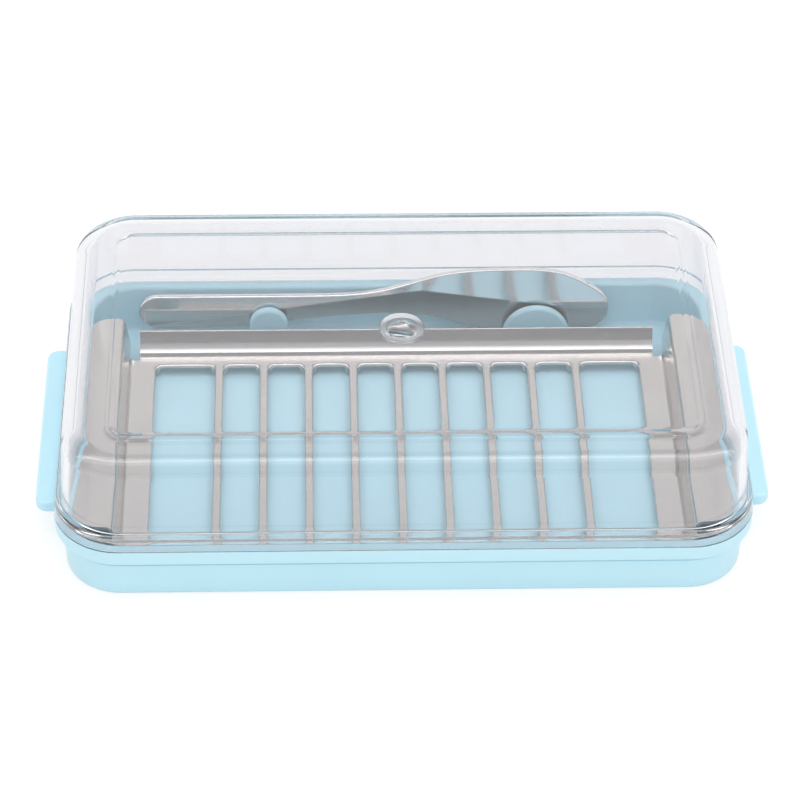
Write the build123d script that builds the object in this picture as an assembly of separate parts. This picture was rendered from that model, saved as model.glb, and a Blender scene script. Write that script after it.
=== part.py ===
"""Butter slicer: a covered butter box with a stamped cutting grid and a butter knife.

Millimetres. X runs along the box, Y from the front to the back, Z up.
The origin is the middle of the underside of the tray.
The box comes apart into a moulded tray, a clear lid, a steel cutter and a steel knife.
"""
from build123d import *
from math import cos, radians, sin, tan
import os

# Outline that the tray's ledge and the lid's rim share
RIM_LENGTH = 176.2
RIM_WIDTH = 107.7
RIM_CORNER = 17.0

# Tray
LEDGE_HEIGHT = 16.4
BAND_HEIGHT = 4.7
BAND_FOOT_EDGE = 1.2
GROOVE_HEIGHT = 1.5
GROOVE_DEPTH = 0.35
GROOVE_EDGE = 0.2
BODY_INSET = 2.0
BODY_TAPER = 0.5
BODY_FOOT_RADIUS = 1.0
LEDGE_EDGE = 0.7
END_SHELF = 2.4
PAN_FLOOR = 4.0
PAN_TAPER = 1.0
PAN_FLOOR_RADIUS = 1.2
FLOOR_THICKNESS = 2.2
FOOT_WIDTH = 5.0

# Lifting tabs on the ends of the tray
TAB_REACH = 5.4
TAB_WIDTH = 60.8
TAB_THICKNESS = 3.7
TAB_DROP = 4.0
TAB_CORNER = 3.0
TAB_EDGE = 1.0

# Half-round lugs that keep the knife against the back wall
LUG_HEIGHT = 10.8
LUG_THICKNESS = 2.2
LUG_EDGE = 0.9
HANDLE_LUG_REACH = 35.1
HANDLE_LUG_WIDTH = 10.3
BLADE_LUG_REACH = 107.7
BLADE_LUG_WIDTH = 18.0

# Lid
LID_HEIGHT = 26.9
LID_WALL = 2.0
LID_RIM_HEIGHT = 5.0
LID_RIM_FLARE = 0.5
LID_RIM_EDGE = 0.7
LID_STEP = 1.5
LID_END_TAPER = 1.8
LID_SIDE_TAPER = 0.5
LID_TOP_RADIUS = 3.0
LID_CLEARANCE = 0.4
PANEL_END_MARGIN = 10.3
PANEL_SIDE_MARGIN = 11.25
PANEL_CORNER = 4.0
PANEL_RISE = 0.6
PANEL_SLOPE = 1.7
DISH_DIAMETER = 11.6
DISH_DEPTH = 1.2
DISH_NIB_DIAMETER = 3.2
DISH_NIB_TOP_DIAMETER = 2.1
DISH_NIB_HEIGHT = 0.7

# Stamped cutter
SHEET = 0.8
BEND_RADIUS = 1.4
WING_MARGIN = 0.7
WING_LENGTH = 9.9
WING_CORNER = 8.0
WING_FRONT_GAP = 5.75
WING_LUG_GAP = 5.6
SLOPE_RUN = 1.8
RAIL_SETBACK = 2.1
RAIL_HEIGHT = 5.6
RAIL_LEAN_DEG = 24.0
RAIL_BEND_RADIUS = 3.5
RAIL_EDGE = 0.3
NOTCH_LENGTH = 2.7
NOTCH_DEPTH = 6.0
WINDOW_COUNT = 10
WINDOW_MARGIN = 4.4
WINDOW_END_WIDTH = 15.7
WINDOW_RAIL_GAP = 6.3
WINDOW_CORNER = 1.8
BAR_WIDTH = 2.5
BAR_DEPTH = 3.0
BAR_TAPER_DEG = 8.0
BAR_SHOULDER = 0.75
BLADE_FLOOR_GAP = 0.4

# Knife
KNIFE_THICKNESS = 1.5
KNIFE_LENGTH = 127.6
KNIFE_END_GAP = 11.1
KNIFE_BLADE_WIDTH = 20.9
KNIFE_HANDLE_WIDTH = 10.5
KNIFE_NECK_WIDTH = 7.7
KNIFE_NECK_REACH = 66.0
KNIFE_TIP_RUN = 28.0
KNIFE_HANDLE_RISE = 2.3
KNIFE_NECK_RISE = 6.7
KNIFE_TIP_RISE = 8.0
KNIFE_TIP_ROUND = 5.6
KNIFE_TIP_SETBACK = 2.8
KNIFE_EDGE = 0.4
KNIFE_LEAN_DEG = 3.0
KNIFE_REST_GAP = 0.15
KNIFE_LUG_GAP = 0.6
KNIFE_WALL_GAP = 2.85

# How full the knife's curves are between the sizes above, as shares
HANDLE_FULL_REACH = 0.7
HANDLE_UNDER_CURVE = 0.76
SHOULDER_BACK_CURVE = 0.785
SHOULDER_UNDER_CURVE = 0.7
POINT_REACH = 0.6
POINT_BACK_CURVE = 0.905
POINT_UNDER_CURVE = 0.06

# Reach of a cutting block that has to pass right through, and the slack in finding edges
CUT_THROUGH = 12.0
EDGE_SLACK = 0.001

# Tray and lid, worked out from the sizes above
BAND_BOTTOM = LEDGE_HEIGHT - BAND_HEIGHT
BODY_TOP = BAND_BOTTOM - GROOVE_HEIGHT
PAN_SIDE = LID_STEP + LID_WALL + LID_CLEARANCE
PAN_END = PAN_SIDE + END_SHELF
TAB_SPAN = RIM_LENGTH + 2 * TAB_REACH
TAB_TOP = LEDGE_HEIGHT - TAB_DROP
LID_STEP_Z = LEDGE_HEIGHT + LID_RIM_HEIGHT
LID_TOP_Z = LEDGE_HEIGHT + LID_HEIGHT
PANEL_LENGTH = RIM_LENGTH - 2 * (LID_STEP + LID_END_TAPER + PANEL_END_MARGIN)
PANEL_WIDTH = RIM_WIDTH - 2 * (LID_STEP + LID_SIDE_TAPER + PANEL_SIDE_MARGIN)

# Places of the knife and its lugs against the back wall of the pan
KNIFE_END_X = PAN_END + PAN_TAPER + KNIFE_END_GAP - RIM_LENGTH / 2
KNIFE_ROOM = KNIFE_WALL_GAP + KNIFE_THICKNESS + KNIFE_LUG_GAP
LUG_BACK = RIM_WIDTH / 2 - PAN_SIDE - PAN_TAPER - KNIFE_ROOM
LUG_TOP = PAN_FLOOR + LUG_HEIGHT
HANDLE_LUG_X = KNIFE_END_X + HANDLE_LUG_REACH
BLADE_LUG_X = KNIFE_END_X + BLADE_LUG_REACH

# Cutter, on the end shelves, between the front wall of the pan and the lugs
PLATE_TOP = PAN_FLOOR + BLADE_FLOOR_GAP + BAR_DEPTH
WING_SPAN = RIM_LENGTH - 2 * (PAN_SIDE + WING_MARGIN)
WING_INNER_SPAN = WING_SPAN - 2 * WING_LENGTH
WING_FRONT_Y = PAN_SIDE + WING_FRONT_GAP - RIM_WIDTH / 2
WING_BACK_Y = LUG_BACK - LUG_THICKNESS - WING_LUG_GAP
WING_WIDTH = WING_BACK_Y - WING_FRONT_Y
CUTTER_MIDDLE_Y = (WING_FRONT_Y + WING_BACK_Y) / 2
RAIL_LENGTH = WING_INNER_SPAN - 2 * (SLOPE_RUN + NOTCH_LENGTH)
RAIL_LINE_WIDTH = WING_WIDTH - 2 * RAIL_SETBACK
WINDOW_LENGTH = RAIL_LINE_WIDTH - 2 * WINDOW_RAIL_GAP
INNER_WINDOWS = WINDOW_COUNT - 2
INNER_ROOM = RAIL_LENGTH - 2 * (WINDOW_MARGIN + WINDOW_END_WIDTH) - BAR_WIDTH
WINDOW_PITCH = INNER_ROOM / INNER_WINDOWS


def outline(inset_x, inset_y, z):
    """Rounded rectangle set in from the shared rim outline, at height z."""
    corner = RIM_CORNER - (inset_x + inset_y) / 2
    shape = RectangleRounded(RIM_LENGTH - 2 * inset_x, RIM_WIDTH - 2 * inset_y, corner)
    return Pos(0, 0, z) * shape


def tapered(low_inset, high_inset, low_z, high_z):
    """Solid between two outlines, each inset given as (along X, along Y)."""
    return loft([outline(*low_inset, low_z), outline(*high_inset, high_z)], ruled=True)


def edges_at(solid, z):
    """Edges of a solid that lie flat at height z."""
    return solid.edges().filter_by_position(Axis.Z, z - EDGE_SLACK, z + EDGE_SLACK)


def tray_shell():
    """Moulded pan with its band, groove, ledge, end shelves and hollow foot."""
    foot = BODY_INSET + BODY_TAPER
    body = tapered((foot, foot), (BODY_INSET, BODY_INSET), 0, BODY_TOP)
    body = fillet(edges_at(body, 0), BODY_FOOT_RADIUS)
    body = fillet(edges_at(body, BODY_TOP), GROOVE_EDGE)
    neck = BODY_INSET + GROOVE_DEPTH
    body = body + extrude(outline(neck, neck, BODY_TOP - GROOVE_HEIGHT), 2 * GROOVE_HEIGHT)
    band = extrude(outline(0, 0, BAND_BOTTOM), BAND_HEIGHT)
    band = fillet(edges_at(band, BAND_BOTTOM), BAND_FOOT_EDGE)
    pan_foot = (PAN_END + PAN_TAPER, PAN_SIDE + PAN_TAPER)
    pan = tapered(pan_foot, (PAN_END, PAN_SIDE), PAN_FLOOR, LEDGE_HEIGHT)
    pan = fillet(edges_at(pan, PAN_FLOOR), PAN_FLOOR_RADIUS)
    recess = foot + FOOT_WIDTH
    underside = extrude(outline(recess, recess, 0), PAN_FLOOR - FLOOR_THICKNESS)
    shell = body + band - pan - underside
    return fillet(edges_at(shell, LEDGE_HEIGHT), LEDGE_EDGE)


def tray_tabs():
    """Flat tabs that stand out of both ends, for the fingers."""
    plan = RectangleRounded(TAB_SPAN, TAB_WIDTH, TAB_CORNER)
    bar = extrude(Pos(0, 0, TAB_TOP - TAB_THICKNESS) * plan, TAB_THICKNESS)
    bar = fillet(edges_at(bar, TAB_TOP) + edges_at(bar, TAB_TOP - TAB_THICKNESS), TAB_EDGE)
    inside = extrude(outline(PAN_SIDE, PAN_SIDE, 0), LEDGE_HEIGHT)
    return bar - inside


def knife_lug(middle_x, width):
    """Upright lug with a half-round top, rooted in the floor of the tray."""
    half = width / 2
    centre_z = LUG_TOP - half
    root_z = PAN_FLOOR - FLOOR_THICKNESS / 2
    face = Circle(half) + Pos(0, (root_z - centre_z) / 2) * Rectangle(width, centre_z - root_z)
    face = face - Pos(0, root_z - centre_z - half) * Rectangle(2 * width, width)
    plane = Plane(origin=(middle_x, LUG_BACK, centre_z), x_dir=(1, 0, 0), z_dir=(0, -1, 0))
    lug = extrude(plane * face, LUG_THICKNESS)
    rounded = lug.edges().filter_by(GeomType.CIRCLE) + lug.edges().filter_by(Axis.Z)
    return fillet(rounded, LUG_EDGE)


def make_tray():
    tray = tray_shell() + tray_tabs()
    tray = tray + knife_lug(HANDLE_LUG_X, HANDLE_LUG_WIDTH)
    return tray + knife_lug(BLADE_LUG_X, BLADE_LUG_WIDTH)


def lid_block(wall):
    """Straight-sided part of the lid with its panel, or the hollow in it when given the wall."""
    foot = LID_STEP + wall
    top_z = LID_TOP_Z - wall
    top = (foot + LID_END_TAPER, foot + LID_SIDE_TAPER)
    walls = tapered((foot, foot), top, LEDGE_HEIGHT, top_z)
    walls = fillet(edges_at(walls, top_z), LID_TOP_RADIUS - wall / 2)
    return walls + lid_panel(top_z)


def lid_rim():
    """Solid band round the foot of the lid."""
    flare = (LID_RIM_FLARE, LID_RIM_FLARE)
    rim = tapered((0, 0), flare, LEDGE_HEIGHT, LID_STEP_Z)
    return fillet(edges_at(rim, LID_STEP_Z), LID_RIM_EDGE)


def lid_panel(base_z):
    """Raised middle panel with a sloping step all round."""
    low = Pos(0, 0, base_z) * RectangleRounded(PANEL_LENGTH, PANEL_WIDTH, PANEL_CORNER)
    high_length = PANEL_LENGTH - 2 * PANEL_SLOPE
    high_width = PANEL_WIDTH - 2 * PANEL_SLOPE
    corner = PANEL_CORNER - PANEL_SLOPE / 2
    high = Pos(0, 0, base_z + PANEL_RISE) * RectangleRounded(high_length, high_width, corner)
    return loft([low, high], ruled=True)


def dish_cap(diameter, depth, top_z):
    """Ball-shaped cap that sinks below height top_z."""
    half = diameter / 2
    ball = (half * half + depth * depth) / (2 * depth)
    return Pos(0, 0, top_z + ball - depth) * Sphere(ball)


def make_lid():
    """Clear cover: stepped rim, straight walls, raised panel and a moulding dish in the middle."""
    shell = lid_rim() + lid_block(0) - lid_block(LID_WALL)
    panel_z = LID_TOP_Z + PANEL_RISE
    under_z = panel_z - LID_WALL
    backing = dish_cap(DISH_DIAMETER, DISH_DEPTH, under_z)
    backing = backing - Pos(0, 0, under_z + RIM_WIDTH / 2) * Box(RIM_LENGTH, RIM_WIDTH, RIM_WIDTH)
    shell = shell + backing
    shell = shell - dish_cap(DISH_DIAMETER, DISH_DEPTH, panel_z)
    nib_height = DISH_NIB_HEIGHT + LID_WALL / 2
    nib = Cone(DISH_NIB_DIAMETER / 2, DISH_NIB_TOP_DIAMETER / 2, nib_height)
    nib_low = panel_z - DISH_DEPTH - LID_WALL / 2
    return shell + Pos(0, 0, nib_low + nib_height / 2) * nib


def window_centres():
    """Middle X and width of each window, from left to right."""
    end_middle = (RAIL_LENGTH - WINDOW_END_WIDTH) / 2 - WINDOW_MARGIN
    places = [(-end_middle, WINDOW_END_WIDTH)]
    for index in range(INNER_WINDOWS):
        middle = (index - (INNER_WINDOWS - 1) / 2) * WINDOW_PITCH
        places.append((middle, WINDOW_PITCH - BAR_WIDTH))
    places.append((end_middle, WINDOW_END_WIDTH))
    return places


def bent_strip(points, bend_radius):
    """Profile of the sheet along a bent middle line."""
    return trace(FilletPolyline(*points, radius=bend_radius + SHEET / 2), SHEET)


def wing_strip():
    """Wings, sloped ends and plate as one strip bent about Y."""
    plate_z = PLATE_TOP - SHEET / 2
    wing_z = LEDGE_HEIGHT + SHEET / 2
    inner = WING_INNER_SPAN / 2
    points = [
        (-WING_SPAN / 2, wing_z),
        (-inner, wing_z),
        (SLOPE_RUN - inner, plate_z),
        (inner - SLOPE_RUN, plate_z),
        (inner, wing_z),
        (WING_SPAN / 2, wing_z),
    ]
    plane = Plane(origin=(0, CUTTER_MIDDLE_Y, 0), x_dir=(1, 0, 0), z_dir=(0, -1, 0))
    strip = extrude(plane * bent_strip(points, BEND_RADIUS), WING_WIDTH / 2, both=True)
    corners = strip.edges().filter_by(Axis.Z)
    corners = corners.filter_by_position(Axis.X, -WING_SPAN, -WING_SPAN / 2 + SHEET)
    corners = corners + strip.edges().filter_by(Axis.Z).filter_by_position(
        Axis.X, WING_SPAN / 2 - SHEET, WING_SPAN
    )
    flat = WING_LENGTH - BEND_RADIUS - SHEET
    return fillet(corners, min(WING_CORNER, flat))


def rail_strip():
    """Plate with its front and back rails, bent about X."""
    plate_z = PLATE_TOP - SHEET / 2
    half = RAIL_LINE_WIDTH / 2
    lean = RAIL_HEIGHT * tan(radians(RAIL_LEAN_DEG))
    points = [
        (-half - lean, plate_z + RAIL_HEIGHT),
        (-half, plate_z),
        (half, plate_z),
        (half + lean, plate_z + RAIL_HEIGHT),
    ]
    plane = Plane(origin=(0, CUTTER_MIDDLE_Y, 0), x_dir=(0, 1, 0), z_dir=(1, 0, 0))
    return extrude(plane * bent_strip(points, RAIL_BEND_RADIUS), RAIL_LENGTH / 2, both=True)


def window_hole(middle_x, width):
    """One window, a little wider at the bottom, so that its bars thin into blades."""
    drop = BAR_DEPTH + 2 * SHEET
    growth = 2 * drop * tan(radians(BAR_TAPER_DEG))
    top = RectangleRounded(width, WINDOW_LENGTH, WINDOW_CORNER)
    low = RectangleRounded(width + growth, WINDOW_LENGTH + growth, WINDOW_CORNER + growth / 2)
    place = Pos(middle_x, CUTTER_MIDDLE_Y, PLATE_TOP)
    return place * loft([top, Pos(0, 0, -drop) * low], ruled=True)


def make_cutter():
    """Stamped steel cutter: grid of blades, front and back rails, sloped ends and wings."""
    middle = Pos(0, CUTTER_MIDDLE_Y, PLATE_TOP) * Box(RAIL_LENGTH, WING_WIDTH + CUT_THROUGH, CUT_THROUGH)
    frame = wing_strip() - middle + rail_strip()
    notch_x = (RAIL_LENGTH + NOTCH_LENGTH) / 2
    for side_x in (-1, 1):
        for side_y in (-1, 1):
            notch = Box(NOTCH_LENGTH, 2 * NOTCH_DEPTH, CUT_THROUGH)
            place = (side_x * notch_x, CUTTER_MIDDLE_Y + side_y * WING_WIDTH / 2, PLATE_TOP)
            frame = frame - Pos(*place) * notch
    places = window_centres()
    group_length = 2 * places[-1][0] + places[-1][1] + 2 * SHEET
    curtain = Rectangle(group_length, WINDOW_LENGTH)
    curtain_place = Pos(0, CUTTER_MIDDLE_Y, PLATE_TOP - BAR_DEPTH)
    frame = frame + curtain_place * extrude(curtain, BAR_DEPTH)
    for middle_x, width in places:
        frame = frame - window_hole(middle_x, width)
    shoulders = edges_at(frame, PLATE_TOP).filter_by_position(
        Axis.Y, CUTTER_MIDDLE_Y - WINDOW_LENGTH / 2, CUTTER_MIDDLE_Y + WINDOW_LENGTH / 2
    )
    shoulders = shoulders.filter_by_position(Axis.X, -group_length / 2, group_length / 2)
    frame = fillet(shoulders, BAR_SHOULDER)
    rail_tops = frame.edges().filter_by(Axis.X)
    rail_top_z = PLATE_TOP + RAIL_HEIGHT - SHEET
    rail_tops = rail_tops.filter_by_position(Axis.Z, rail_top_z, rail_top_z + 2 * SHEET)
    return fillet(rail_tops, RAIL_EDGE)


def knife_outline():
    """Side view of the knife, from the handle's end, standing on its lowest point."""
    end = KNIFE_HANDLE_WIDTH / 2
    handle_top = KNIFE_HANDLE_RISE + KNIFE_HANDLE_WIDTH
    neck_top = KNIFE_NECK_RISE + KNIFE_NECK_WIDTH
    belly = KNIFE_LENGTH - KNIFE_TIP_RUN
    full = HANDLE_FULL_REACH * KNIFE_NECK_REACH
    shoulder = (KNIFE_NECK_REACH + belly) / 2
    point = belly + POINT_REACH * KNIFE_TIP_RUN
    tip_radius = (KNIFE_TIP_ROUND**2 + KNIFE_TIP_SETBACK**2) / (2 * KNIFE_TIP_SETBACK)
    tip_run = KNIFE_TIP_ROUND / tip_radius
    tip_fall = 1 - KNIFE_TIP_SETBACK / tip_radius
    tip_start = (KNIFE_LENGTH - KNIFE_TIP_SETBACK, KNIFE_TIP_RISE + KNIFE_TIP_ROUND)
    tip_end = (KNIFE_LENGTH - KNIFE_TIP_SETBACK, KNIFE_TIP_RISE - KNIFE_TIP_ROUND)
    top = Spline(
        (end, handle_top),
        (full, handle_top),
        (KNIFE_NECK_REACH, neck_top),
        (shoulder, neck_top + SHOULDER_BACK_CURVE * (KNIFE_BLADE_WIDTH - neck_top)),
        (belly, KNIFE_BLADE_WIDTH),
        (point, POINT_BACK_CURVE * KNIFE_BLADE_WIDTH),
        tip_start,
        tangents=((1, 0), (tip_run, -tip_fall)),
        tangent_scalars=(1, 1),
    )
    tip = ThreePointArc(tip_start, (KNIFE_LENGTH, KNIFE_TIP_RISE), tip_end)
    low = Spline(
        tip_end,
        (point, POINT_UNDER_CURVE * KNIFE_BLADE_WIDTH),
        (belly, 0),
        (shoulder, SHOULDER_UNDER_CURVE * KNIFE_NECK_RISE),
        (KNIFE_NECK_REACH, KNIFE_NECK_RISE),
        (full, HANDLE_UNDER_CURVE * KNIFE_NECK_RISE),
        (end, KNIFE_HANDLE_RISE),
        tangents=((-tip_run, -tip_fall), (-1, 0)),
        tangent_scalars=(1, 1),
    )
    cap = ThreePointArc((end, KNIFE_HANDLE_RISE), (0, KNIFE_HANDLE_RISE + end), (end, handle_top))
    side = make_face(Wire([top, tip, low, cap]))
    return Pos(0, -side.bounding_box().min.Y) * side


def make_knife():
    """Butter knife in flat steel, on edge behind the lugs and leaning back a little."""
    lean = radians(KNIFE_LEAN_DEG)
    half = KNIFE_THICKNESS / 2
    foot_y = LUG_BACK + KNIFE_LUG_GAP + half
    foot_z = PAN_FLOOR + KNIFE_REST_GAP + half * sin(lean)
    plane = Plane(
        origin=(KNIFE_END_X, foot_y, foot_z), x_dir=(1, 0, 0), z_dir=(0, -cos(lean), sin(lean))
    )
    blank = extrude(plane * knife_outline(), half, both=True)
    faces = blank.faces().sort_by(SortBy.AREA)[-2:]
    return fillet(faces.edges(), KNIFE_EDGE)


os.makedirs("parts", exist_ok=True)
export_step(make_tray(), "parts/tray.step")
export_step(make_lid(), "parts/lid.step")
export_step(make_cutter(), "parts/cutter.step")
export_step(make_knife(), "parts/knife.step")
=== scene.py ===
from math import cos, pi, radians, sin

import bmesh
import bpy
from mathutils import Matrix, Vector


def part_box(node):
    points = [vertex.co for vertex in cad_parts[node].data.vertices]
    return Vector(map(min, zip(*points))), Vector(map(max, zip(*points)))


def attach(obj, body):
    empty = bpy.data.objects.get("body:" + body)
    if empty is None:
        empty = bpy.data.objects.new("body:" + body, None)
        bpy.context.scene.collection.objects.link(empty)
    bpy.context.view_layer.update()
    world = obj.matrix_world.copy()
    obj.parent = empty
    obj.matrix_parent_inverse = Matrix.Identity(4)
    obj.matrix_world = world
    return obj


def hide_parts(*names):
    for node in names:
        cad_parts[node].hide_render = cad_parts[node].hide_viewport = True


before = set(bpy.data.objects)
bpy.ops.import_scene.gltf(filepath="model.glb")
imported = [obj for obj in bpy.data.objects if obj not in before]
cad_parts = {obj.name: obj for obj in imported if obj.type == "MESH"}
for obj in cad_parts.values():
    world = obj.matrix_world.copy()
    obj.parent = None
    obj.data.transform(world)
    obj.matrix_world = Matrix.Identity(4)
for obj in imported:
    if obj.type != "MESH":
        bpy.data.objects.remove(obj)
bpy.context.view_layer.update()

bl_info = {
    "name": "Butter Slicer Box",
    "version": (1, 0, 0),
    "blender": (4, 5, 0),
    "location": "3D View > Sidebar > Butter Box",
    "description": "Covered butter box with a slicing grid, a knife and a clear lid",
    "category": "Object",
}

MM = 0.001
LID_LOW, LID_HIGH = (Vector(corner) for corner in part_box("lid"))
# The lid's foot sinks this far into the tray's ledge, so that the two faces don't coincide.
LID_SINK = 0.02 * MM
LID_FOOT = LID_LOW.z - LID_SINK
# Two points closer than this count as being in the same place.
NEAR = 0.02 * MM


# Sizes and colours

class LidSizes(bpy.types.PropertyGroup):
    """Sizes of the clear lid that its box in the frame does not give."""

    corner: bpy.props.FloatProperty(
        name="Rim corner",
        description="Corner radius of the rim in plan",
        default=17.0 * MM, unit="LENGTH",
    )
    wall: bpy.props.FloatProperty(
        name="Wall",
        description="Thickness of the walls and top",
        default=2.0 * MM, unit="LENGTH",
    )
    rim_height: bpy.props.FloatProperty(
        name="Rim height",
        description="Height of the rim below the step",
        default=5.0 * MM, unit="LENGTH",
    )
    rim_wall: bpy.props.FloatProperty(
        name="Rim wall",
        description="Thickness of the rim at its foot",
        default=1.2 * MM, unit="LENGTH",
    )
    rim_hollow: bpy.props.FloatProperty(
        name="Rim hollow",
        description="Height of the hollow inside the rim",
        default=2.3 * MM, unit="LENGTH",
    )
    rim_flare: bpy.props.FloatProperty(
        name="Rim flare",
        description="How far the rim leans out to its foot",
        default=0.5 * MM, unit="LENGTH",
    )
    step: bpy.props.FloatProperty(
        name="Step",
        description="Inset of the walls from the rim's foot",
        default=1.5 * MM, unit="LENGTH",
    )
    end_taper: bpy.props.FloatProperty(
        name="End taper",
        description="How far each end wall leans in",
        default=1.8 * MM, unit="LENGTH",
    )
    side_taper: bpy.props.FloatProperty(
        name="Side taper",
        description="How far each side wall leans in",
        default=0.5 * MM, unit="LENGTH",
    )
    panel_end_margin: bpy.props.FloatProperty(
        name="Panel end margin",
        description="From the top's end edge to the panel",
        default=10.3 * MM, unit="LENGTH",
    )
    panel_side_margin: bpy.props.FloatProperty(
        name="Panel side margin",
        description="From the top's side edge to the panel",
        default=10.15 * MM, unit="LENGTH",
    )
    panel_rise: bpy.props.FloatProperty(
        name="Panel rise",
        description="Height of the raised middle panel",
        default=0.6 * MM, unit="LENGTH",
    )
    panel_slope: bpy.props.FloatProperty(
        name="Panel slope",
        description="Width of the sloping step round the panel",
        default=1.7 * MM, unit="LENGTH",
    )
    top_round: bpy.props.FloatProperty(
        name="Top rounding",
        description="Rounding of the top's outer edge",
        default=4.5 * MM, unit="LENGTH",
    )
    rim_round: bpy.props.FloatProperty(
        name="Rim rounding",
        description="Rounding of the rim's upper edge",
        default=0.7 * MM, unit="LENGTH",
    )
    panel_round: bpy.props.FloatProperty(
        name="Panel rounding",
        description="Rounding of the panel's step",
        default=0.5 * MM, unit="LENGTH",
    )
    foot_round: bpy.props.FloatProperty(
        name="Foot rounding",
        description="Rounding of the rim's lower edge",
        default=0.15 * MM, unit="LENGTH",
    )
    dish: bpy.props.FloatProperty(
        name="Dish",
        description="Diameter of the moulding dish",
        default=11.6 * MM, unit="LENGTH",
    )
    dish_depth: bpy.props.FloatProperty(
        name="Dish depth",
        description="Depth of the moulding dish",
        default=1.2 * MM, unit="LENGTH",
    )
    nib: bpy.props.FloatProperty(
        name="Nib",
        description="Width of the rough stub in the dish",
        default=8.4 * MM, unit="LENGTH",
    )
    nib_height: bpy.props.FloatProperty(
        name="Nib height",
        description="Height of the rough stub in the dish",
        default=0.9 * MM, unit="LENGTH",
    )


class Colours(bpy.types.PropertyGroup):
    """Colours of the finishes."""

    tray: bpy.props.FloatVectorProperty(
        name="Tray",
        description="Moulded plastic of the tray",
        default=(0.52, 0.785, 0.885), subtype="COLOR", min=0, max=1,
    )
    lid: bpy.props.FloatVectorProperty(
        name="Lid",
        description="Tint of the clear plastic",
        default=(0.885, 0.885, 0.905), subtype="COLOR", min=0, max=1,
    )
    # Painted shade: the darker colour that the clear plastic takes towards its end walls.
    lid_end_painted_shade: bpy.props.FloatVectorProperty(
        name="Lid ends",
        description="Deeper tint of the clear plastic at its end walls",
        default=(0.80, 0.81, 0.84), subtype="COLOR", min=0, max=1,
    )
    steel: bpy.props.FloatVectorProperty(
        name="Sheet steel",
        description="Stamped sheet of the cutter",
        default=(0.64, 0.62, 0.60), subtype="COLOR", min=0, max=1,
    )
    knife: bpy.props.FloatVectorProperty(
        name="Knife steel",
        description="Polished steel of the knife's upper facet",
        default=(0.80, 0.80, 0.80), subtype="COLOR", min=0, max=1,
    )
    # Painted reflection: this darker colour below the ridge stands in for the dark surroundings
    # that the lower face mirrors.
    knife_low_painted_reflection: bpy.props.FloatVectorProperty(
        name="Knife's lower facet",
        description="Duller steel below the facet line",
        default=(0.42, 0.39, 0.38), subtype="COLOR", min=0, max=1,
    )


class StageSetup(bpy.types.PropertyGroup):
    """Camera and light."""

    yaw: bpy.props.FloatProperty(
        name="Yaw",
        description="Camera's turn to the left of straight on",
        default=radians(-2.06), subtype="ANGLE",
    )
    elevation: bpy.props.FloatProperty(
        name="Elevation",
        description="Camera's height above the horizon",
        default=radians(39.98), subtype="ANGLE",
    )
    roll: bpy.props.FloatProperty(
        name="Roll",
        description="Camera's roll",
        default=radians(0.84), subtype="ANGLE",
    )
    distance: bpy.props.FloatProperty(
        name="Distance",
        description="From the camera to the aim point",
        default=846.07 * MM, unit="LENGTH",
    )
    aim_height: bpy.props.FloatProperty(
        name="Aim height",
        description="Height of the aim point over the floor",
        default=30.0 * MM, unit="LENGTH",
    )
    lens: bpy.props.FloatProperty(
        name="Lens",
        description="Focal length in mm on a 36 mm sensor",
        default=147.63,
    )
    ambient: bpy.props.FloatProperty(
        name="Ambient",
        description="Even light from all round",
        default=0.94, min=0,
    )
    softbox: bpy.props.FloatProperty(
        name="Softbox",
        description="Power of the overhead softbox in watts",
        default=7.0, min=0,
    )
    fill: bpy.props.FloatProperty(
        name="Fill",
        description="Power of the softbox beside the camera in watts",
        default=3.2, min=0,
    )


# Shader nodes

# Sockets of a Mix node that mixes colours. Others share their names, so they go by number.
MIX_AMOUNT, MIX_FIRST, MIX_SECOND = 0, 6, 7
MIX_COLOUR = 2
WHITE = (1, 1, 1, 1)


class Value:
    """A shader socket that can be used in Python sums."""

    def __init__(self, finish, socket):
        self.finish = finish
        self.socket = socket

    def _sum(self, operation, first, second=0.0):
        return self.finish.node("ShaderNodeMath", {"operation": operation}, {0: first, 1: second})

    def __add__(self, other):
        return self._sum("ADD", self, other)

    def __sub__(self, other):
        return self._sum("SUBTRACT", self, other)

    def __mul__(self, other):
        return self._sum("MULTIPLY", self, other)

    def __truediv__(self, other):
        return self._sum("DIVIDE", self, other)

    def __rsub__(self, other):
        return self._sum("SUBTRACT", other, self)

    __radd__ = __add__
    __rmul__ = __mul__

    def size(self):
        return self._sum("ABSOLUTE", self)

    def root(self):
        return self._sum("SQRT", self)

    def least(self, other):
        return self._sum("MINIMUM", self, other)

    def most(self, other):
        return self._sum("MAXIMUM", self, other)

    def angle_from(self, other):
        return self._sum("ARCTAN2", self, other)


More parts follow.
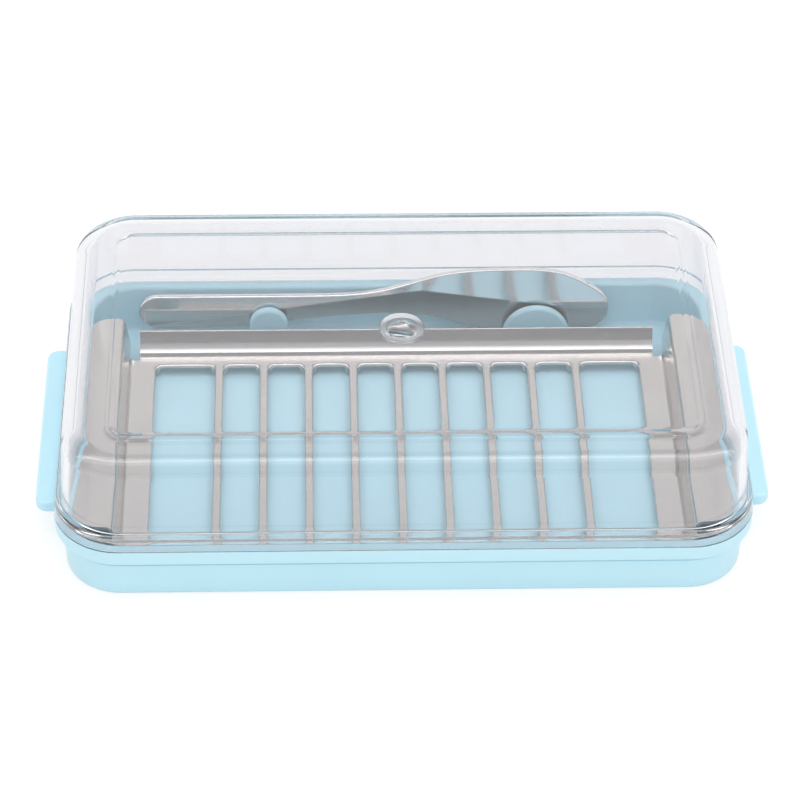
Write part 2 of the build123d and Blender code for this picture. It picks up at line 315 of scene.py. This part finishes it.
class Finish:
    """A material, or the world, while its nodes are put together."""

    def __init__(self, owner):
        owner.use_nodes = True
        self.tree = owner.node_tree
        self.tree.nodes.clear()

    def node(self, kind, settings=None, sockets=None, out=0):
        """Adds a node, sets it up, feeds its sockets and gives one of its outputs, if any."""
        node = self.tree.nodes.new(kind)
        for name, setting in (settings or {}).items():
            if name == "stops":
                self._set_stops(node.color_ramp, setting)
            else:
                setattr(node, name, setting)
        for key, given in (sockets or {}).items():
            if isinstance(given, Value):
                self.tree.links.new(given.socket, node.inputs[key])
            else:
                node.inputs[key].default_value = given
        return Value(self, node.outputs[out]) if node.outputs else None

    @staticmethod
    def _set_stops(ramp, stops):
        while len(ramp.elements) < len(stops):
            ramp.elements.new(0.5)
        for element, (place, colour) in zip(ramp.elements, stops):
            element.position = place
            element.color = (*colour, 1)

    def place(self, stretch=(1, 1, 1)):
        """Object coordinates, stretched along each axis."""
        where = self.node("ShaderNodeTexCoord", out="Object")
        return self.node("ShaderNodeMapping", sockets={"Vector": where, "Scale": stretch})

    def noise(self, where, scale, detail):
        sockets = {"Vector": where, "Scale": scale, "Detail": detail}
        return self.node("ShaderNodeTexNoise", sockets=sockets, out="Fac")

    def axes(self):
        """The three object coordinates, each as a value."""
        where = {"Vector": self.node("ShaderNodeTexCoord", out="Object")}
        return [self.node("ShaderNodeSeparateXYZ", sockets=where, out=axis) for axis in "XYZ"]

    def fade(self, value, low, high, start, end):
        """Goes from start to end while a value goes from low to high."""
        return self.node("ShaderNodeMapRange", {"clamp": True}, {
            "Value": value, "From Min": low, "From Max": high, "To Min": start, "To Max": end,
        }, out="Result")

    def bump(self, height, strength, distance, under=None):
        """A bumpy normal, on top of the bumps of another one if that is given."""
        sockets = {"Height": height, "Strength": strength, "Distance": distance}
        if under is not None:
            sockets["Normal"] = under
        return self.node("ShaderNodeBump", sockets=sockets, out="Normal")

    def mix(self, amount, first, second):
        """Goes from one colour to another while amount goes from 0 to 1."""
        sockets = {MIX_AMOUNT: amount, MIX_FIRST: (*first, 1), MIX_SECOND: (*second, 1)}
        return self.node("ShaderNodeMix", {"data_type": "RGBA"}, sockets, out=MIX_COLOUR)

    def shade(self, colour, amount, spread):
        """A colour that gets lighter and darker while amount goes from 0 to 1."""
        dark = [part * (1 - spread) for part in colour]
        light = [min(part * (1 + spread), 1) for part in colour]
        return self.mix(amount, dark, light)

    def seen(self):
        """One for rays that carry the background to the picture, mirrored and through glass too."""
        camera = self.node("ShaderNodeLightPath", out="Is Camera Ray")
        glossy = self.node("ShaderNodeLightPath", out="Is Glossy Ray")
        through = self.node("ShaderNodeLightPath", out="Is Transmission Ray")
        return camera.most(glossy).most(through)

    def surface(self, shader):
        """Shows a shader on the material's surface, or as the world's background."""
        is_world = isinstance(self.tree.id_data, bpy.types.World)
        output = "ShaderNodeOutputWorld" if is_world else "ShaderNodeOutputMaterial"
        self.node(output, sockets={"Surface": shader})


def new_finish(name):
    material = bpy.data.materials.new(name)
    return material, Finish(material)


def tray_plastic(colours):
    """Satin moulded plastic with a faint pebble and slightly uneven colour."""
    material, finish = new_finish("tray_plastic")
    cloud = finish.noise(finish.place(), scale=35, detail=3)
    pebble = finish.noise(finish.place(), scale=2600, detail=1)
    shader = finish.node("ShaderNodeBsdfPrincipled", sockets={
        "Base Color": finish.shade(colours.tray, cloud, spread=0.025),
        "Roughness": 0.27 + 0.08 * cloud,
        "Normal": finish.bump(pebble, strength=0.12, distance=0.05 * MM),
        "IOR": 1.5,
        "Subsurface Weight": 0.0,
    })
    finish.surface(shader)
    return material


# How far from the lid's ends its painted shade starts, and where it is full: the clear plastic is
# coloured darker towards its end walls.
END_PAINTED_SHADE_START = 9 * MM
END_PAINTED_SHADE_FULL = 4 * MM
# The dish is matt. Its middle is clearer than the ring round it, which goes clear at the rim.
# The places are shares of the dish's radius.
DISH_MIDDLE = 0.7
DISH_RING = 0.8
DISH_RIM = 0.95
DISH_MIDDLE_ROUGHNESS = 0.1
DISH_RING_ROUGHNESS = 0.3


def dish_roughness(finish, radius, rim):
    """Roughness at a distance from the middle of the dish; none outside it."""
    matt = finish.fade(
        radius, DISH_MIDDLE * rim, DISH_RING * rim, DISH_MIDDLE_ROUGHNESS, DISH_RING_ROUGHNESS
    )
    return matt * finish.fade(radius, DISH_RIM * rim, rim, 1, 0)


def clear_plastic(colours, sizes):
    """Clear moulded plastic with painted shade that darkens it towards its ends, matt in the dish;
    lamps shine through it.
    """
    material, finish = new_finish("clear_plastic")
    wave = finish.noise(finish.place((1, 1, 0.6)), scale=28, detail=1)
    along, across, _ = finish.axes()
    # Painted shade: how far towards the end walls the colour has darkened.
    ends = finish.fade(
        along.size(), LID_HIGH.x - END_PAINTED_SHADE_START, LID_HIGH.x - END_PAINTED_SHADE_FULL, 0, 1
    )
    radius = (along * along + across * across).root()
    glass = finish.node("ShaderNodeBsdfPrincipled", sockets={
        "Base Color": finish.mix(ends, colours.lid, colours.lid_end_painted_shade),
        "Roughness": dish_roughness(finish, radius, sizes.dish / 2),
        "IOR": 1.49,
        "Transmission Weight": 1.0,
        "Normal": finish.bump(wave, strength=0.35, distance=0.25 * MM),
    })
    open_air = finish.node("ShaderNodeBsdfTransparent", sockets={"Color": WHITE})
    shadow = finish.node("ShaderNodeLightPath", out="Is Shadow Ray")
    sockets = {0: shadow, 1: glass, 2: open_air}
    finish.surface(finish.node("ShaderNodeMixShader", sockets=sockets))
    return material


def sheet_steel(colours):
    """Stamped stainless sheet, rolled along its length."""
    material, finish = new_finish("stamped_steel")
    grain = finish.noise(finish.place((0.03, 1, 1)), scale=1800, detail=3)
    cloud = finish.noise(finish.place(), scale=30, detail=2)
    shader = finish.node("ShaderNodeBsdfPrincipled", sockets={
        "Base Color": finish.shade(colours.steel, cloud, spread=0.04),
        "Metallic": 1.0,
        "Roughness": 0.14 + 0.08 * grain,
        "Normal": finish.bump(grain, strength=0.06, distance=0.03 * MM),
    })
    finish.surface(shader)
    return material


# A ridge runs along the knife's face. It is highest at the neck and falls to both ends.
RIDGE_HEIGHT = 18.6 * MM
RIDGE_TOP = 7.0 * MM
RIDGE_FALL = 0.15
# Tilt of the face under the ridge, and over it on the handle and on the blade.
TILT_UNDER = 0.14
TILT_OVER_HANDLE = 0.28
TILT_OVER_BLADE = 0.17
# Half the length over which the handle's tilt passes into the blade's.
TWIST_RUN = 12.0 * MM
# The upper face is ground slightly hollow: from what height up, and how strongly it curves.
HOLLOW_START = 16.5 * MM
HOLLOW = 4.0
# Half the width over which the painted dark reflection below the ridge gives way to the steel's own
# colour above it, and how much is left to the cloud.
RIDGE_EDGE = 0.4 * MM
CLOUD_SHARE = 0.06


def knife_steel(colours):
    """Polished stainless with fine lengthwise polishing lines, on slightly twisted faces, with a
    painted dark reflection on the face below the ridge.
    """
    material, finish = new_finish("polished_steel")
    grain = finish.noise(finish.place((0.02, 1, 1)), scale=2400, detail=2)
    cloud = finish.noise(finish.place(), scale=60, detail=2)
    along, _, up = finish.axes()
    over = up - RIDGE_HEIGHT + RIDGE_FALL * (along - RIDGE_TOP).size()
    high = (up - HOLLOW_START).most(0.0)
    tilt_over = finish.fade(along, -TWIST_RUN, TWIST_RUN, TILT_OVER_HANDLE, TILT_OVER_BLADE)
    faces = TILT_UNDER * over.least(0.0) - tilt_over * over.most(0.0) + HOLLOW * high * high
    face = finish.bump(faces, strength=1.0, distance=1.0)
    # Painted reflection: below the ridge the face is coloured dark for what it mirrors, above it
    # the steel keeps its colour; a little cloud stays on top.
    painted_reflection_and_cloud = finish.fade(over, -RIDGE_EDGE, RIDGE_EDGE, 0, 1 - CLOUD_SHARE) + CLOUD_SHARE * cloud
    shader = finish.node("ShaderNodeBsdfPrincipled", sockets={
        "Base Color": finish.mix(painted_reflection_and_cloud, colours.knife_low_painted_reflection, colours.knife),
        "Metallic": 1.0,
        "Roughness": 0.07 + 0.05 * grain,
        "Normal": finish.bump(grain, strength=0.04, distance=0.02 * MM, under=face),
    })
    finish.surface(shader)
    return material


# Modelling helpers

CORNER_SEGMENTS = 28
ROUND_SEGMENTS = 8
# The largest rounding of an edge. The others are set as shares of it.
MOST_ROUND = 4.5 * MM
# Edges that turn by more than this stay sharp.
SHARP_EDGE = radians(30)


def start_plate(name, length, width, corner, z):
    """Adds a plane with round corners; it stays in edit mode with its face selected."""
    bpy.ops.object.select_all(action="DESELECT")
    bpy.ops.mesh.primitive_plane_add(size=1, location=(0, 0, z))
    bpy.context.object.name = name
    bpy.ops.object.mode_set(mode="EDIT")
    bpy.ops.transform.resize(value=(length, width, 1))
    bpy.ops.mesh.bevel(offset=corner, segments=CORNER_SEGMENTS, affect="VERTICES", profile=0.5)
    bpy.ops.mesh.select_mode(type="FACE")
    bpy.ops.mesh.select_all(action="SELECT")


def raise_face(height):
    """Extrudes the selected face straight up."""
    move = {"value": (0, 0, height), "orient_type": "GLOBAL"}
    bpy.ops.mesh.extrude_region_move(TRANSFORM_OT_translate=move)


def fit_face(length, width):
    """Scales the selected face to a length and width."""
    mesh = bmesh.from_edit_mesh(bpy.context.object.data)
    spots = [vert.co for vert in mesh.verts if vert.select]
    now_length = max(spot.x for spot in spots) - min(spot.x for spot in spots)
    now_width = max(spot.y for spot in spots) - min(spot.y for spot in spots)
    bpy.ops.transform.resize(value=(length / now_length, width / now_width, 1))


def mark_ring(radius):
    """Notes a rounding on the edges round the selected face, as a share of the largest rounding."""
    mesh = bmesh.from_edit_mesh(bpy.context.object.data)
    layer = mesh.edges.layers.float.get("bevel_weight_edge")
    if layer is None:
        layer = mesh.edges.layers.float.new("bevel_weight_edge")
    for face in mesh.faces:
        if face.select:
            for edge in face.edges:
                edge[layer] = radius / MOST_ROUND
    bmesh.update_edit_mesh(bpy.context.object.data)


def pick(kind, test):
    """Selects what passes a test in the piece that is in edit mode."""
    bpy.ops.mesh.select_mode(type=kind)
    bpy.ops.mesh.select_all(action="DESELECT")
    mesh = bmesh.from_edit_mesh(bpy.context.object.data)
    things = {"VERT": mesh.verts, "EDGE": mesh.edges, "FACE": mesh.faces}[kind]
    for thing in things:
        if test(thing):
            thing.select_set(True)
    mesh.select_flush_mode()
    bmesh.update_edit_mesh(bpy.context.object.data)


def level(thing, z):
    """True if an edge or a face lies at height z in the piece."""
    return all(abs(vert.co.z - z) < NEAR for vert in thing.verts)


def beside_wall(edge):
    """True if an edge borders on a face that stands up."""
    return any(abs(face.normal.z) < 0.5 for face in edge.link_faces)


def work_on(*pieces):
    """Selects these pieces alone, and makes the first of them the active one."""
    bpy.ops.object.select_all(action="DESELECT")
    for piece in pieces:
        piece.select_set(True)
    bpy.context.view_layer.objects.active = pieces[0]


def apply_modifier(piece, kind, **settings):
    """Adds a modifier with its settings and applies it."""
    work_on(piece)
    modifier = piece.modifiers.new(kind.title(), kind)
    for name, setting in settings.items():
        setattr(modifier, name, setting)
    bpy.ops.object.modifier_apply(modifier=modifier.name)


def combine(piece, other, operation):
    """Joins another solid to a piece or cuts it out, and deletes the other."""
    apply_modifier(piece, "BOOLEAN", object=other, operation=operation, solver="EXACT")
    bpy.data.objects.remove(other)


def settle(piece):
    """Puts the piece's place in its mesh and smooths it, but for its sharp edges."""
    work_on(piece)
    bpy.ops.object.transform_apply(location=True, rotation=True, scale=True)
    bpy.ops.object.shade_smooth_by_angle(angle=SHARP_EDGE)
    apply_modifier(piece, "WEIGHTED_NORMAL", keep_sharp=True)


# Lid

# By what share of the wall the top is rounded less on the inside.
INNER_ROUND_LOSS = 0.25
# How far the nib's points are thrown about, as a share of its height.
NIB_ROUGHNESS = 0.7


def lid_skin(name, sizes, wall):
    """Outer skin of the lid, or with a wall thickness its inner skin."""
    length = LID_HIGH.x - LID_LOW.x
    width = LID_HIGH.y - LID_LOW.y
    edge = sizes.rim_wall if wall else 0
    rim = sizes.rim_hollow if wall else sizes.rim_height
    foot = sizes.step + wall
    rise = LID_HIGH.z - LID_FOOT - wall - sizes.panel_rise
    corner = sizes.corner - edge
    start_plate(name, length - 2 * edge, width - 2 * edge, corner, LID_FOOT)
    raise_face(rim)
    edge += sizes.rim_flare
    fit_face(length - 2 * edge, width - 2 * edge)
    mark_ring(sizes.rim_round)
    foot_x = foot + sizes.end_taper * rim / rise
    foot_y = foot + sizes.side_taper * rim / rise
    bpy.ops.mesh.inset(thickness=foot - edge)
    fit_face(length - 2 * foot_x, width - 2 * foot_y)
    mark_ring(sizes.panel_round)
    top_x = foot + sizes.end_taper
    top_y = foot + sizes.side_taper
    raise_face(rise - rim)
    fit_face(length - 2 * top_x, width - 2 * top_y)
    mark_ring(sizes.top_round - INNER_ROUND_LOSS * wall)
    panel_length = length - 2 * (sizes.step + sizes.end_taper + sizes.panel_end_margin)
    panel_width = width - 2 * (sizes.step + sizes.side_taper + sizes.panel_side_margin)
    bpy.ops.mesh.inset(thickness=sizes.panel_end_margin - wall)
    fit_face(panel_length, panel_width)
    mark_ring(sizes.panel_round)
    bpy.ops.mesh.inset(thickness=sizes.panel_slope)
    bpy.ops.transform.translate(value=(0, 0, sizes.panel_rise))
    mark_ring(sizes.panel_round)
    pick("FACE", lambda face: level(face, 0))
    bpy.ops.mesh.delete(type="FACE")
    bpy.ops.object.mode_set(mode="OBJECT")
    skin = bpy.context.object
    apply_modifier(
        skin, "BEVEL", width=MOST_ROUND, segments=ROUND_SEGMENTS, limit_method="WEIGHT",
        use_clamp_overlap=False,
    )
    return skin


def lid_shell(sizes):
    """Both skins of the lid, joined along the foot of the rim."""
    shell = lid_skin("lid_clear", sizes, 0)
    inner = lid_skin("lid_inner", sizes, sizes.wall)
    bpy.ops.object.mode_set(mode="EDIT")
    bpy.ops.mesh.select_all(action="SELECT")
    bpy.ops.mesh.flip_normals()
    bpy.ops.object.mode_set(mode="OBJECT")
    work_on(shell, inner)
    bpy.ops.object.join()
    bpy.ops.object.mode_set(mode="EDIT")
    pick("EDGE", lambda edge: edge.is_boundary)
    bpy.ops.mesh.bridge_edge_loops()
    pick("EDGE", lambda edge: level(edge, 0) and beside_wall(edge))
    bpy.ops.mesh.bevel(offset=sizes.foot_round, segments=3)
    bpy.ops.mesh.select_all(action="SELECT")
    bpy.ops.mesh.normals_make_consistent(inside=False)
    bpy.ops.object.mode_set(mode="OBJECT")
    return shell


def ball(radius, z):
    """A ball on the middle line, centred at height z."""
    bpy.ops.object.select_all(action="DESELECT")
    bpy.ops.mesh.primitive_uv_sphere_add(
        segments=128, ring_count=96, radius=radius, location=(0, 0, z)
    )
    return bpy.context.object


def cut_above(piece, z):
    """Cuts away what stands over height z and closes the cut."""
    bpy.ops.object.mode_set(mode="EDIT")
    bpy.ops.mesh.select_all(action="SELECT")
    bpy.ops.mesh.bisect(
        plane_co=(0, 0, z), plane_no=(0, 0, 1), use_fill=True, clear_outer=True
    )
    bpy.ops.object.mode_set(mode="OBJECT")
    return piece


def broken_nib(sizes):
    """The rough stub that is left where the moulding was broken off its feed."""
    bpy.ops.object.select_all(action="DESELECT")
    bottom = LID_HIGH.z - sizes.dish_depth
    bpy.ops.mesh.primitive_ico_sphere_add(
        subdivisions=2, radius=sizes.nib / 2, location=(0, 0, bottom)
    )
    nib = bpy.context.object
    bpy.ops.object.mode_set(mode="EDIT")
    bpy.ops.mesh.select_all(action="SELECT")
    bpy.ops.transform.resize(value=(1, 1, 2 * sizes.nib_height / sizes.nib))
    bpy.ops.transform.vertex_random(offset=sizes.nib_height * NIB_ROUGHNESS, seed=5)
    bpy.ops.object.mode_set(mode="OBJECT")
    return nib


def on_circle(edge, radius):
    """True if an edge lies on a circle round the middle of the piece."""
    return all(abs(vert.co.xy.length - radius) < NEAR for vert in edge.verts)


def sink_dish(shell, sizes):
    """Presses the moulding dish into the panel, with a bulge under it and the nib in it."""
    half = sizes.dish / 2
    radius = (half * half + sizes.dish_depth ** 2) / (2 * sizes.dish_depth)
    middle = LID_HIGH.z + radius - sizes.dish_depth
    bulge = cut_above(ball(radius, middle - sizes.wall), LID_HIGH.z - sizes.wall / 2)
    combine(shell, bulge, "UNION")
    combine(shell, ball(radius, middle), "DIFFERENCE")
    bpy.ops.object.mode_set(mode="EDIT")
    top = LID_HIGH.z - LID_FOOT
    pick("EDGE", lambda edge: level(edge, top) and on_circle(edge, half))
    bpy.ops.mesh.bevel(offset=sizes.foot_round, segments=4)
    bpy.ops.object.mode_set(mode="OBJECT")
    combine(shell, broken_nib(sizes), "UNION")


class BUTTERBOX_OT_lid(bpy.types.Operator):
    """Model the clear lid with its raised panel and moulding dish"""

    bl_idname = "butterbox.lid"
    bl_label = "Clear lid"

    def execute(self, context):
        sizes = context.scene.butterbox_lid
        shell = lid_shell(sizes)
        sink_dish(shell, sizes)
        settle(shell)
        shell.data.materials.clear()
        shell.data.materials.append(clear_plastic(context.scene.butterbox_colours, sizes))
        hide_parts("lid")
        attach(shell, "lid")
        return {"FINISHED"}


# Tray, cutter and knife

def dress(node, material):
    """Gives a node of the frame its finish."""
    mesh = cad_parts[node].data
    mesh.materials.clear()
    mesh.materials.append(material)


class BUTTERBOX_OT_tray(bpy.types.Operator):
    """Finish the moulded tray"""

    bl_idname = "butterbox.tray"
    bl_label = "Tray"

    def execute(self, context):
        dress("tray", tray_plastic(context.scene.butterbox_colours))
        return {"FINISHED"}


class BUTTERBOX_OT_cutter(bpy.types.Operator):
    """Finish the stamped cutter"""

    bl_idname = "butterbox.cutter"
    bl_label = "Cutter"

    def execute(self, context):
        dress("cutter", sheet_steel(context.scene.butterbox_colours))
        return {"FINISHED"}


class BUTTERBOX_OT_knife(bpy.types.Operator):
    """Finish the butter knife"""

    bl_idname = "butterbox.knife"
    bl_label = "Knife"

    def execute(self, context):
        dress("knife", knife_steel(context.scene.butterbox_colours))
        return {"FINISHED"}


# Stage

# What mirrors and glass see, by the direction that they look in: 0 is the horizon in front of
# the box, 0.5 is straight up and 1 is the horizon behind the box.
STUDIO = (
    (0.00, (0.03, 0.03, 0.04)),
    (0.04, (0.03, 0.03, 0.04)),
    (0.08, (0.34, 0.34, 0.34)),
    (0.28, (0.42, 0.42, 0.42)),
    (0.32, (0.60, 0.60, 0.60)),
    (0.345, (0.95, 0.95, 0.95)),
    (0.41, (0.95, 0.95, 0.95)),
    (0.44, (0.48, 0.48, 0.48)),
    (0.53, (0.42, 0.42, 0.42)),
    (0.55, (0.19, 0.19, 0.20)),
    (0.71, (0.21, 0.21, 0.21)),
    (0.755, (0.56, 0.55, 0.54)),
    (1.00, (0.54, 0.54, 0.55)),
)
# Strength of the studio's white.
STUDIO_WHITE = 2.0
# Where the overhead softbox shows in what is polished, and its strength there.
OVERHEAD = (
    (0.42, (0.0, 0.0, 0.0)),
    (0.44, (1.0, 1.0, 1.0)),
    (0.49, (1.0, 1.0, 1.0)),
    (0.51, (0.0, 0.0, 0.0)),
)
OVERHEAD_STRENGTH = 7.0


def build_world(setup):
    """Even light for surfaces, and for mirrors and glass a studio that is dark in front."""
    world = bpy.data.worlds.new("studio")
    bpy.context.scene.world = world
    finish = Finish(world)
    direction = finish.node("ShaderNodeTexCoord", out="Generated")
    split = {"Vector": direction}
    back = finish.node("ShaderNodeSeparateXYZ", sockets=split, out="Y")
    up = finish.node("ShaderNodeSeparateXYZ", sockets=split, out="Z")
    turn = up.angle_from(0.0 - back) / pi
    room = finish.node("ShaderNodeValToRGB", {"stops": STUDIO}, {"Fac": turn}, out="Color")
    glossy = finish.node("ShaderNodeLightPath", out="Is Glossy Ray")
    box = finish.node("ShaderNodeValToRGB", {"stops": OVERHEAD}, {"Fac": turn}, out="Color")
    lit = finish.node("ShaderNodeVectorMath", {"operation": "SCALE"}, {
        0: room, "Scale": STUDIO_WHITE + OVERHEAD_STRENGTH * box * glossy,
    })
    mirror = finish.node("ShaderNodeBackground", sockets={"Color": lit, "Strength": 1.0})
    camera = finish.node("ShaderNodeLightPath", out="Is Camera Ray")
    white = finish.node("ShaderNodeBackground", sockets={"Color": WHITE, "Strength": 1.0})
    picture = finish.node("ShaderNodeMixShader", sockets={0: camera, 1: mirror, 2: white})
    even = {"Color": WHITE, "Strength": setup.ambient}
    light = finish.node("ShaderNodeBackground", sockets=even)
    sockets = {0: finish.seen(), 1: light, 2: picture}
    finish.surface(finish.node("ShaderNodeMixShader", sockets=sockets))


# Greys of the floor: as the box sees it, and the part of the pictured floor that takes the shadow.
FLOOR_PLAIN = (0.82, 0.82, 0.82, 1)
FLOOR_SHADED = (0.36, 0.36, 0.36, 1)
# Glow that brings the pictured floor to white.
FLOOR_GLOW = 0.68
# Width of the floor in metres.
FLOOR_SIZE = 8


def floor_finish():
    """Pale floor that reads as white in the picture and keeps the object's shadow."""
    material, finish = new_finish("pale_floor")
    plain = finish.node("ShaderNodeBsdfDiffuse", sockets={"Color": FLOOR_PLAIN})
    soft = finish.node("ShaderNodeBsdfDiffuse", sockets={"Color": FLOOR_SHADED})
    glow = finish.node("ShaderNodeEmission", sockets={"Color": WHITE, "Strength": FLOOR_GLOW})
    pictured = finish.node("ShaderNodeAddShader", sockets={0: soft, 1: glow})
    sockets = {0: finish.seen(), 1: plain, 2: pictured}
    finish.surface(finish.node("ShaderNodeMixShader", sockets=sockets))
    return material


# Width of each softbox, and where it hangs, in metres.
OVERHEAD_SOFTBOX = (1.4, (0.1, 0.1, 1.5))
FRONT_SOFTBOX = (1.0, (0.2, -1.2, 1.1))


def add_lamp(name, size, place, power):
    """A square soft lamp that points at the box, and that mirrors and glass don't show."""
    bpy.ops.object.select_all(action="DESELECT")
    bpy.ops.object.light_add(type="AREA", location=place)
    lamp = bpy.context.object
    lamp.name = name
    lamp.data.size = size
    lamp.data.energy = power
    lamp.rotation_euler = (-Vector(place)).to_track_quat("-Z", "Y").to_euler()
    lamp.visible_glossy = False
    lamp.visible_transmission = False


# Shift that frames the box as the photograph does, and the nearest and farthest the camera sees.
CAMERA_SHIFT = (-0.0014, -0.0387)
CAMERA_REACH = (0.05, 20)


def add_camera(setup):
    """Camera at the photograph's angle."""
    back = Vector((
        sin(setup.yaw) * cos(setup.elevation),
        -cos(setup.yaw) * cos(setup.elevation),
        sin(setup.elevation),
    ))
    right = (-back).cross(Vector((0, 0, 1))).normalized()
    up = right.cross(-back)
    axis_x = right * cos(setup.roll) + up * sin(setup.roll)
    axis_y = up * cos(setup.roll) - right * sin(setup.roll)
    bpy.ops.object.select_all(action="DESELECT")
    bpy.ops.object.camera_add()
    camera = bpy.context.object
    turn = Matrix((axis_x, axis_y, back)).transposed().to_4x4()
    place = back * setup.distance + Vector((0, 0, setup.aim_height))
    camera.matrix_world = Matrix.Translation(place) @ turn
    camera.data.sensor_width = 36
    camera.data.lens = setup.lens
    camera.data.shift_x, camera.data.shift_y = CAMERA_SHIFT
    camera.data.clip_start, camera.data.clip_end = CAMERA_REACH
    bpy.context.scene.camera = camera


# How often light may bounce, so that it gets through both skins of the lid and out again.
BOUNCES = {
    "max_bounces": 24,
    "transmission_bounces": 16,
    "transparent_max_bounces": 24,
    "glossy_bounces": 8,
    "diffuse_bounces": 5,
}


class BUTTERBOX_OT_stage(bpy.types.Operator):
    """Set up the floor, the light and the camera"""

    bl_idname = "butterbox.stage"
    bl_label = "Stage"

    def execute(self, context):
        setup = context.scene.butterbox_stage
        bpy.ops.object.select_all(action="DESELECT")
        bpy.ops.mesh.primitive_plane_add(size=FLOOR_SIZE)
        floor = bpy.context.object
        floor.name = "floor"
        floor.data.materials.append(floor_finish())
        build_world(setup)
        add_lamp("softbox_over", *OVERHEAD_SOFTBOX, setup.softbox)
        add_lamp("softbox_front", *FRONT_SOFTBOX, setup.fill)
        add_camera(setup)
        scene = context.scene
        scene.view_settings.view_transform = "Standard"
        for kind, most in BOUNCES.items():
            setattr(scene.cycles, kind, most)
        return {"FINISHED"}


# Panel and registration

class BUTTERBOX_PT_panel(bpy.types.Panel):
    """Lists the pieces of the butter box"""

    bl_idname = "BUTTERBOX_PT_panel"
    bl_label = "Butter Box"
    bl_space_type = "VIEW_3D"
    bl_region_type = "UI"
    bl_category = "Butter Box"

    def draw(self, context):
        for operator in OPERATORS:
            self.layout.operator(operator.bl_idname)
        for group in GROUPS:
            box = self.layout.box()
            settings = getattr(context.scene, group)
            for name in settings.bl_rna.properties.keys():
                if name not in ("rna_type", "name"):
                    box.prop(settings, name)


GROUPS = {
    "butterbox_lid": LidSizes,
    "butterbox_colours": Colours,
    "butterbox_stage": StageSetup,
}
OPERATORS = (
    BUTTERBOX_OT_stage,
    BUTTERBOX_OT_tray,
    BUTTERBOX_OT_cutter,
    BUTTERBOX_OT_knife,
    BUTTERBOX_OT_lid,
)


def register():
    for group, settings in GROUPS.items():
        bpy.utils.register_class(settings)
        setattr(bpy.types.Scene, group, bpy.props.PointerProperty(type=settings))
    for item in (*OPERATORS, BUTTERBOX_PT_panel):
        bpy.utils.register_class(item)


def unregister():
    for item in (BUTTERBOX_PT_panel, *reversed(OPERATORS)):
        bpy.utils.unregister_class(item)
    for group, settings in GROUPS.items():
        delattr(bpy.types.Scene, group)
        bpy.utils.unregister_class(settings)


def main():
    register()
    bpy.ops.butterbox.stage()
    bpy.ops.butterbox.tray()
    bpy.ops.butterbox.cutter()
    bpy.ops.butterbox.knife()
    bpy.ops.butterbox.lid()


if __name__ == "__main__":
    main()
